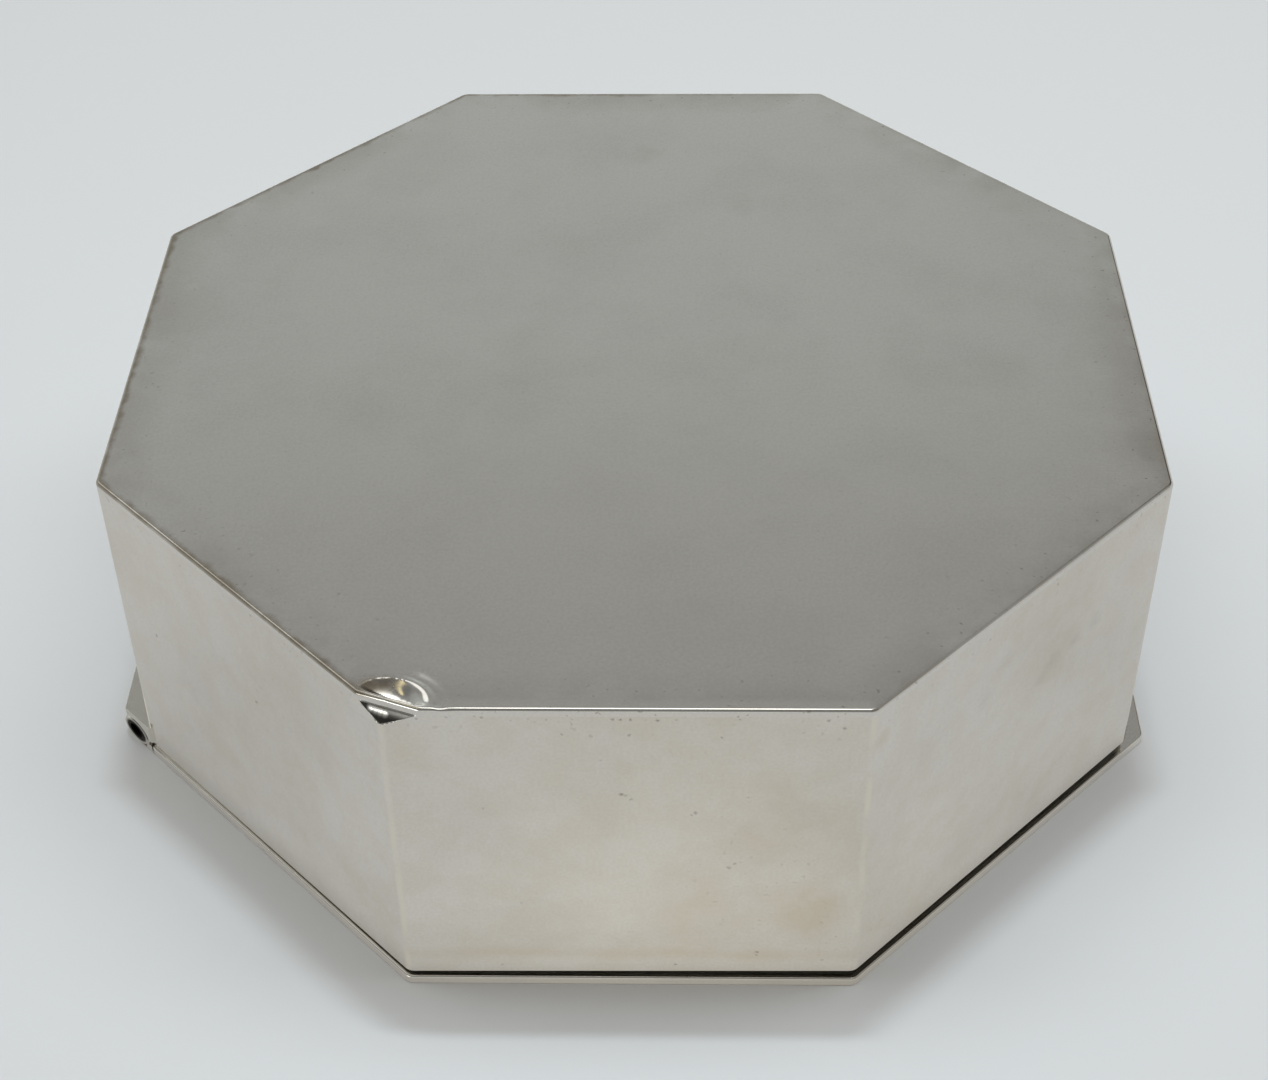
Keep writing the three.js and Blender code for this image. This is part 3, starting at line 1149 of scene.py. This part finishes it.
@dataclass
class Lid:
    """The flat part: a sheet with a thumb lip, and the band that centres it in the mouth."""

    corner_radius: float = 1.2 * MM
    edge_round: float = 0.25 * MM
    foot_round: float = 0.07 * MM
    flange_sheet: float = 0.8 * MM
    flange_fold: float = 0.8 * MM
    flange_round: float = 0.15 * MM
    # Near-black colour of the painted shade in the lid's crevice.
    gap_shade_colour: Colour = (0.085, 0.075, 0.06)

    def lid_sheet(self) -> Workpiece:
        """Model the lid: an octagon drawn out on one side into the thumb lip.

        Returns:
            The lid.
        """
        low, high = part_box("lid_plate")
        face = high.y
        reach = face * math.sqrt(2.0)
        sheet = octagon("lid_sheet", face, low.z, high.z, "NGON")
        sheet.edit()
        half = face * FOLD_TANGENT
        for end, sign in ((high.x, 1.0), (-low.x, -1.0)):
            sheet.pick(Pick.VERTS, lambda v: v.co.x * sign > 0.99 * face)
            bpy.ops.transform.translate(value=(sign * (end - face), 0.0, 0.0))
            spread = (1.0, (reach - end) / half, 1.0)
            bpy.ops.transform.resize(value=spread, center_override=(sign * end, 0.0, 0.0))
        sheet.pick(Pick.EDGES, is_upright)
        sheet.bevel(self.corner_radius * FOLD_TANGENT, 5)
        middle = (low.z + high.z) / 2
        sheet.pick(Pick.EDGES, lambda edge: above(edge, middle))
        sheet.bevel(self.edge_round, 3)
        sheet.pick(Pick.EDGES, lambda edge: all(v.co.z < middle for v in edge.verts))
        sheet.bevel(self.foot_round, 2)
        sheet.leave()
        sheet.smooth()
        return sheet

    def inner_band(self) -> Workpiece:
        """Model the band inside the lid.

        Returns:
            The band.
        """
        low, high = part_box("lid_flange")
        band = folded_band("lid_inner_band", high.x, self.flange_sheet, self.flange_fold, low.z, high.z)
        band.apply("SOLIDIFY", thickness=self.flange_sheet, offset=-1.0, use_even_offset=True)
        band.edit()

        def on_top(edge: bmesh.types.BMEdge) -> bool:
            """Whether an edge runs along the top's inner or outer line."""
            return above(edge, high.z - HAIR) and len({f.normal.z > 0.5 for f in edge.link_faces}) == 2

        band.pick(Pick.EDGES, on_top)
        band.bevel(self.flange_round, 3)
        band.leave()
        band.smooth()
        return band

    def build(self) -> None:
        """Model and dress the lid and its inner band."""
        lid_finish = LidFinish(
            "polished_lid",
            silver=(0.93, 0.905, 0.85),
            tarnish=(0.56, 0.52, 0.46),
            shade_colour=self.gap_shade_colour,
            gloss=0.15,
        )
        inner_finish = InnerFinish(
            "satin_inside", silver=(0.90, 0.88, 0.83), shade_colour=self.gap_shade_colour, gloss=0.24, haze=0.14
        )
        self.lid_sheet().dress("lid_plate", Body.LID, Slot.POLISHED, lid_finish.material())
        self.inner_band().dress("lid_flange", Body.LID, Slot.INNER, inner_finish.material())


@dataclass
class Hinge:
    """The barrel hinge: tubes in grooved bearers on one wire, the ends cut in line with the sides."""

    bore: float = 1.0 * MM
    groove_clearance: float = 0.25 * MM
    bearer_edge: float = 0.35 * MM
    solder: float = 0.7 * MM
    tube_round: float = 0.09 * MM
    bearer_round: float = 0.06 * MM
    wire_round: float = 0.3 * MM
    tube_sides: int = 72
    barrel: float = field(init=False)
    axis_x: float = field(init=False)
    axis_z: float = field(init=False)
    mitre: float = field(init=False)

    def __post_init__(self) -> None:
        """Read the barrel's place from the solids."""
        low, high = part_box("body_knuckle_2")
        self.barrel = (high.x - low.x) / 2
        self.axis_x = (high.x + low.x) / 2
        self.axis_z = (high.z + low.z) / 2
        self.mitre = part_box("lid_plate")[1].y * math.sqrt(2.0)

    def rod(self, name: str, radius: float, front: float, rear: float) -> Workpiece:
        """A round bar on the hinge's axis.

        Args:
            name: its name.
            radius: its radius.
            front: where it starts along Y.
            rear: where it ends along Y.

        Returns:
            The bar.
        """
        return Workpiece(
            name,
            bpy.ops.mesh.primitive_cylinder_add,
            vertices=self.tube_sides,
            radius=radius,
            depth=rear - front,
            location=(self.axis_x, (front + rear) / 2, self.axis_z),
            rotation=(math.pi / 2, 0.0, 0.0),
        )

    def bore_out(self, piece: Workpiece, radius: float, front: float, rear: float) -> None:
        """Cut a round hole or groove along the hinge's axis out of a piece."""
        piece.cut(self.rod("bore_cutter", radius, front, rear))

    def cut_mitre(self, piece: Workpiece, front: bool) -> None:
        """Cut one end off in line with the neighbouring diagonal side.

        Args:
            piece: what is cut.
            front: whether it is the front end or the rear one.
        """
        lean = -1.0 if front else 1.0
        piece.edit()
        piece.trim((-self.mitre, 0.0, 0.0), (-1.0, lean, 0.0), True)
        piece.leave()

    def tube(self, name: str, node: str, mitred: bool) -> Workpiece:
        """Model one length of tube.

        Args:
            name: the piece's name.
            node: the solid that gives its length.
            mitred: whether its front end is cut at 45 degrees.

        Returns:
            The tube.
        """
        low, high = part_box(node)
        piece = self.rod(name, self.barrel, low.y, high.y)
        self.bore_out(piece, self.bore, low.y - self.barrel, high.y + self.barrel)
        if mitred:
            self.cut_mitre(piece, True)
        piece.soften(self.tube_round, 2)
        return piece

    def cut_brow(self, piece: Workpiece, low: Vector, high: Vector) -> None:
        """Cut the outer edge of a bearer blunt where it overhangs the tubes.

        Args:
            piece: the bearer.
            low: its lowest corner.
            high: its highest corner.
        """
        groove = self.barrel + self.groove_clearance
        level = self.axis_z + math.sqrt(groove**2 - (self.axis_x - low.x) ** 2) + self.bearer_edge
        lowest = low - Vector((MM, MM, MM))
        piece.cut(block("brow_cutter", lowest, Vector((self.axis_x, high.y + MM, level))))

    def bearer(self, name: str, node: str) -> Workpiece:
        """Model one bearer: a strip with a round groove, mitred at both ends.

        Args:
            name: the piece's name.
            node: the solid that gives its size.

        Returns:
            The bearer.
        """
        low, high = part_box(node)
        roofs = low.x < self.axis_x
        if roofs:
            high.x += self.solder
        piece = block(name, low, high)
        if roofs:
            self.cut_brow(piece, low, high)
        depth = high.x - low.x
        self.bore_out(piece, self.barrel + self.groove_clearance, low.y - depth, high.y + depth)
        self.cut_mitre(piece, True)
        self.cut_mitre(piece, False)
        piece.soften(self.bearer_round, 2)
        return piece

    def wire(self) -> Workpiece:
        """Model the wire that the tubes turn on, with softened ends.

        Returns:
            The wire.
        """
        low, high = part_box("hinge_pin")
        piece = self.rod("hinge_wire", (high.x - low.x) / 2, low.y, high.y)
        piece.soften(self.wire_round, 4)
        return piece

    def build(self) -> None:
        """Model and dress the bearers, the tubes and the wire."""
        finish = HingeFinish(
            "hinge_silver",
            silver=(0.79, 0.775, 0.715),
            dull=(0.66, 0.645, 0.59),
            gloss=0.20,
            tarnish_share=0.5,
            axis_x=self.axis_x,
            axis_z=self.axis_z,
            bore=self.bore,
        )
        metal = finish.material()
        for side, body in (("body", Body.BOX), ("lid", Body.LID)):
            node = side + "_hinge_bearer"
            self.bearer(side + "_bearer", node).dress(node, body, Slot.HINGE, metal)
        front = self.tube("body_tube_front", "body_knuckle_1", True)
        rear = front.copy("body_tube_rear", Matrix.Scale(-1.0, 4, Vector((0.0, 1.0, 0.0))))
        middle = self.tube("body_tube_middle", "body_knuckle_2", False)
        front.dress("body_knuckle_1", Body.BOX, Slot.HINGE, metal)
        middle.dress("body_knuckle_2", Body.BOX, Slot.HINGE, metal)
        rear.dress("body_knuckle_3", Body.BOX, Slot.HINGE, metal)
        for name, node in (("lid_tube_front", "lid_knuckle_1"), ("lid_tube_rear", "lid_knuckle_2")):
            low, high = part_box(node)
            along = Vector((0.0, (low.y + high.y) / 2, 0.0))
            middle.copy(name, Matrix.Translation(along)).dress(node, Body.LID, Slot.HINGE, metal)
        self.wire().dress("hinge_pin", Body.BOX, Slot.HINGE, metal)


@dataclass(frozen=True)
class Lamp:
    """One soft lamp over the box."""

    name: str
    place: Point
    width: float
    depth: float
    power: float
    hue: Colour

    def hang(self) -> None:
        """Hang the lamp, facing down. The silver doesn't mirror it."""
        data = bpy.data.lights.new(self.name, "AREA")
        data.shape = "ELLIPSE"
        data.size = self.width
        data.size_y = self.depth
        data.energy = self.power
        data.color = self.hue
        lamp = bpy.data.objects.new(self.name, data)
        lamp.location = self.place
        lamp.visible_glossy = False
        bpy.context.scene.collection.objects.link(lamp)


@dataclass(frozen=True)
class SkyPatch:
    """A round area of the sky that the silver mirrors, by the cosines at its edge and where it is full."""

    aim: Point
    edge: float
    full: float
    strength: float = 1.0

    def mask(self, direction: Signal) -> Signal:
        """Where the area is, from 0 to 1."""
        aim = tuple(Vector(self.aim).normalized())
        return direction.vector("DOT_PRODUCT", direction, aim, output="Value").step(self.edge, self.full)


@dataclass
class Studio:
    """Pale floor, soft sky and the camera."""

    photo_width: float = 1268.0
    focal_pixels: float = 2241.4
    sensor: float = 36.0
    azimuth: float = 1.537
    elevation: float = 41.375
    roll: float = -0.891
    eye: Point = (5.70 * MM, -233.8 * MM, 220.2 * MM)
    floor_size: float = 8.0
    floor_drop: float = 0.05 * MM
    soft_lamp: Lamp = Lamp("soft_lamp", (0.08, 0.03, 0.85), 1.60, 0.36, 4.6, (0.92, 1.0, 1.06))
    strip_lamp: Lamp = Lamp("strip_lamp", (0.01, 0.075, 0.85), 0.12, 0.03, 1.5, (0.92, 1.0, 1.06))
    plain_sky: float = 0.18
    plain_hue: Colour = (1.28, 1.0, 0.72)
    paper: Colour = (0.80, 0.83, 0.85)
    backdrop: float = 0.71
    backdrop_hue: Colour = (0.94, 1.0, 1.03)
    mirror_level: float = 0.463
    mirror_contact_shadow: float = 0.20
    mirror_share: float = 0.85
    mirror_hue: Colour = (1.0, 0.99, 0.952)
    warm_hue: Colour = (1.0, 0.965, 0.885)
    warm_place: Point = (0.012, -0.074, 0.0)
    warm_reach: float = 0.075
    low_hue: Colour = (0.972, 1.0, 0.975)
    high_hue: Colour = (1.003, 1.0, 0.966)
    brown_hue: Colour = (1.0, 0.83, 0.68)
    candle_hue: Colour = (1.0, 0.86, 0.50)
    corner: SkyPatch = SkyPatch((0.50, 0.68, 0.53), 0.945, 0.978, -0.80)
    overhead: SkyPatch = SkyPatch((0.0, 0.20, 0.98), 0.960, 0.982, 1.7)
    window: SkyPatch = SkyPatch((-0.50, 0.56, 0.66), 0.9800, 0.9890, 0.85)
    skylight: SkyPatch = SkyPatch((-0.36, 0.40, 0.84), 0.975, 0.990)
    candle: SkyPatch = SkyPatch((-0.42, -0.20, 0.885), 0.9945, 0.9980, 0.9)
    spark: SkyPatch = SkyPatch((-0.66, -0.74, 0.10), 0.968, 0.984, 2.0)
    contact: float = 68.2 * MM
    horizon: tuple[float, float] = (0.20, 0.65)
    lid_face: float = 65.4 * MM
    # Painted pools of light (positive) and painted shade (negative) in the floor as the silver mirrors it.
    mirror_glows_and_shades: tuple[tuple[tuple[float, float], float, float], ...] = (
        ((2.0 * MM, -71.0 * MM), 40.0 * MM, 0.110),
        ((-72.0 * MM, -34.0 * MM), 34.0 * MM, -0.050),
        ((46.0 * MM, -56.0 * MM), 22.0 * MM, 0.030),
        ((87.0 * MM, -30.0 * MM), 22.0 * MM, -0.030),
    )
    dome_stops: tuple[tuple[float, float], ...] = (
        (0.0, 0.85),
        (0.06, 0.80),
        (0.24, 0.66),
        (0.40, 0.43),
        (0.515, 0.382),
        (0.595, 0.370),
        (0.629, 0.342),
        (0.663, 0.304),
        (0.74, 0.285),
        (1.0, 0.30),
    )

    def camera(self) -> None:
        """Place the camera as the photograph was taken."""
        azimuth, elevation = math.radians(self.azimuth), math.radians(self.elevation)
        flat = math.cos(elevation)
        back = Vector((math.sin(azimuth) * flat, -math.cos(azimuth) * flat, math.sin(elevation)))
        right = (-back).cross(Vector((0.0, 0.0, 1.0))).normalized()
        up = right.cross(-back)
        lean = Matrix.Rotation(math.radians(self.roll), 3, back)
        right, up = lean @ right, lean @ up
        data = bpy.data.cameras.new("camera")
        data.sensor_width = self.sensor
        data.lens = self.focal_pixels / self.photo_width * self.sensor
        data.clip_start = 0.01
        camera = bpy.data.objects.new("camera", data)
        turn = Matrix((right, up, back)).transposed().to_4x4()
        camera.matrix_world = Matrix.Translation(self.eye) @ turn
        bpy.context.scene.collection.objects.link(camera)
        bpy.context.scene.camera = camera

    def mirrored_floor(self, place: Signal) -> Signal:
        """How bright the floor looks in the silver, with painted pools of light, painted shade and a
        painted contact shadow round the box.

        Args:
            place: Object coordinates.

        Returns:
            The strength.
        """
        level = place.noise(30.0) * 0.02 + self.mirror_level
        for centre, reach, change in self.mirror_glows_and_shades:
            level = level + place.near((*centre, 0.0), reach) * change
        # Painted contact shadow: the mirrored floor darkens right round the box.
        under = octagon_distance(place).step(self.contact, self.lid_face)
        return level * (1.0 - under * self.mirror_contact_shadow)

    def floor(self) -> None:
        """Lay the floor, pale to the camera and in the silver."""
        bpy.ops.object.select_all(action="DESELECT")
        bpy.ops.mesh.primitive_plane_add(size=self.floor_size, location=(0.0, 0.0, -self.floor_drop))
        floor = bpy.context.view_layer.objects.active
        floor.name = "floor"
        made = bpy.data.materials.new("pale_floor")
        made.use_nodes = True
        graph = Graph(made.node_tree)
        glossy_ray = graph.node("ShaderNodeLightPath", None, None, "Is Glossy Ray")
        place = graph.node("ShaderNodeTexCoord", None, None, "Object")
        camera_ray = graph.node("ShaderNodeLightPath", None, None, "Is Camera Ray")
        away = octagon_distance(place)
        paper = graph.node("ShaderNodeBsdfDiffuse", None, {"Color": self.paper})
        warm = place.near(self.warm_place, self.warm_reach)
        hue = graph.blend(warm, self.mirror_hue, self.warm_hue)
        glow = graph.blend(self.mirrored_floor(place), (0.0, 0.0, 0.0), hue)
        mirrored = graph.node("ShaderNodeEmission", None, {"Color": glow})
        pale = {"Color": self.backdrop_hue, "Strength": self.backdrop}
        distant = graph.node("ShaderNodeEmission", None, pale)
        layers = {0: glossy_ray * self.mirror_share, 1: paper, 2: mirrored}
        nearby = graph.node("ShaderNodeMixShader", None, layers)
        fade = camera_ray * away.step(*self.horizon)
        surface = graph.node("ShaderNodeMixShader", None, {0: fade, 1: nearby, 2: distant})
        graph.node("ShaderNodeOutputMaterial", None, {"Surface": surface})
        floor.data.materials.append(made)

    def sky(self) -> None:
        """Light the box: bright overhead and low down, dim at middle height, dark towards the front."""
        world = bpy.data.worlds.new("studio")
        world.use_nodes = True
        bpy.context.scene.world = world
        graph = Graph(world.node_tree)
        direction = graph.node("ShaderNodeTexCoord", None, None, "Generated")
        east, north, height = direction.parts()
        dome = graph.node("ShaderNodeValToRGB", {"stops": self.dome_stops}, {"Fac": height})
        level = dome * (1.0 - east.step(0.03, 0.26) * 0.09 - (east * -1.0).step(0.08, 0.40) * 0.10)
        front = north.step(0.12, -0.20) * height.step(0.05, 0.16)
        level = level * (1.0 - front * 0.40)
        corner = self.corner.mask(direction)
        level = level * (1.0 + corner * self.corner.strength)
        window = self.window.mask(direction) + self.skylight.mask(direction)
        level = level + window.smaller(1.0) * self.window.strength
        for glow in (self.overhead, self.candle, self.spark):
            level = level + glow.mask(direction) * glow.strength
        brown = front * (east.step(-0.30, 0.35) * 0.3) + corner
        pale = graph.blend(height.step(0.56, 0.70), self.low_hue, self.high_hue)
        colour = graph.blend(brown.smaller(1.0), pale, self.brown_hue)
        colour = graph.blend(self.candle.mask(direction), colour, self.candle_hue)
        camera_ray = graph.node("ShaderNodeLightPath", None, None, "Is Camera Ray")
        glossy_ray = graph.node("ShaderNodeLightPath", None, None, "Is Glossy Ray")
        plain = camera_ray * (self.backdrop - self.plain_sky) + self.plain_sky
        level = plain + (level - plain) * glossy_ray
        plain_colour = graph.blend(camera_ray, self.plain_hue, self.backdrop_hue)
        colour = graph.blend(glossy_ray, plain_colour, colour)
        surface = graph.node("ShaderNodeBackground", None, {"Color": colour, "Strength": level})
        graph.node("ShaderNodeOutputWorld", None, {"Surface": surface})

    def build(self) -> None:
        """Set up floor, light and camera."""
        self.floor()
        self.soft_lamp.hang()
        self.strip_lamp.hang()
        self.sky()
        self.camera()
        bpy.context.scene.view_settings.view_transform = "Standard"
        log.info("studio ready")


def main() -> None:
    """Build the box piece by piece, then its surroundings."""
    logging.basicConfig(level=logging.INFO, format="%(name)s: %(message)s")
    for assembly in (BoxBody(), Lid(), Hinge(), Studio()):
        assembly.build()


if __name__ == "__main__":
    main()
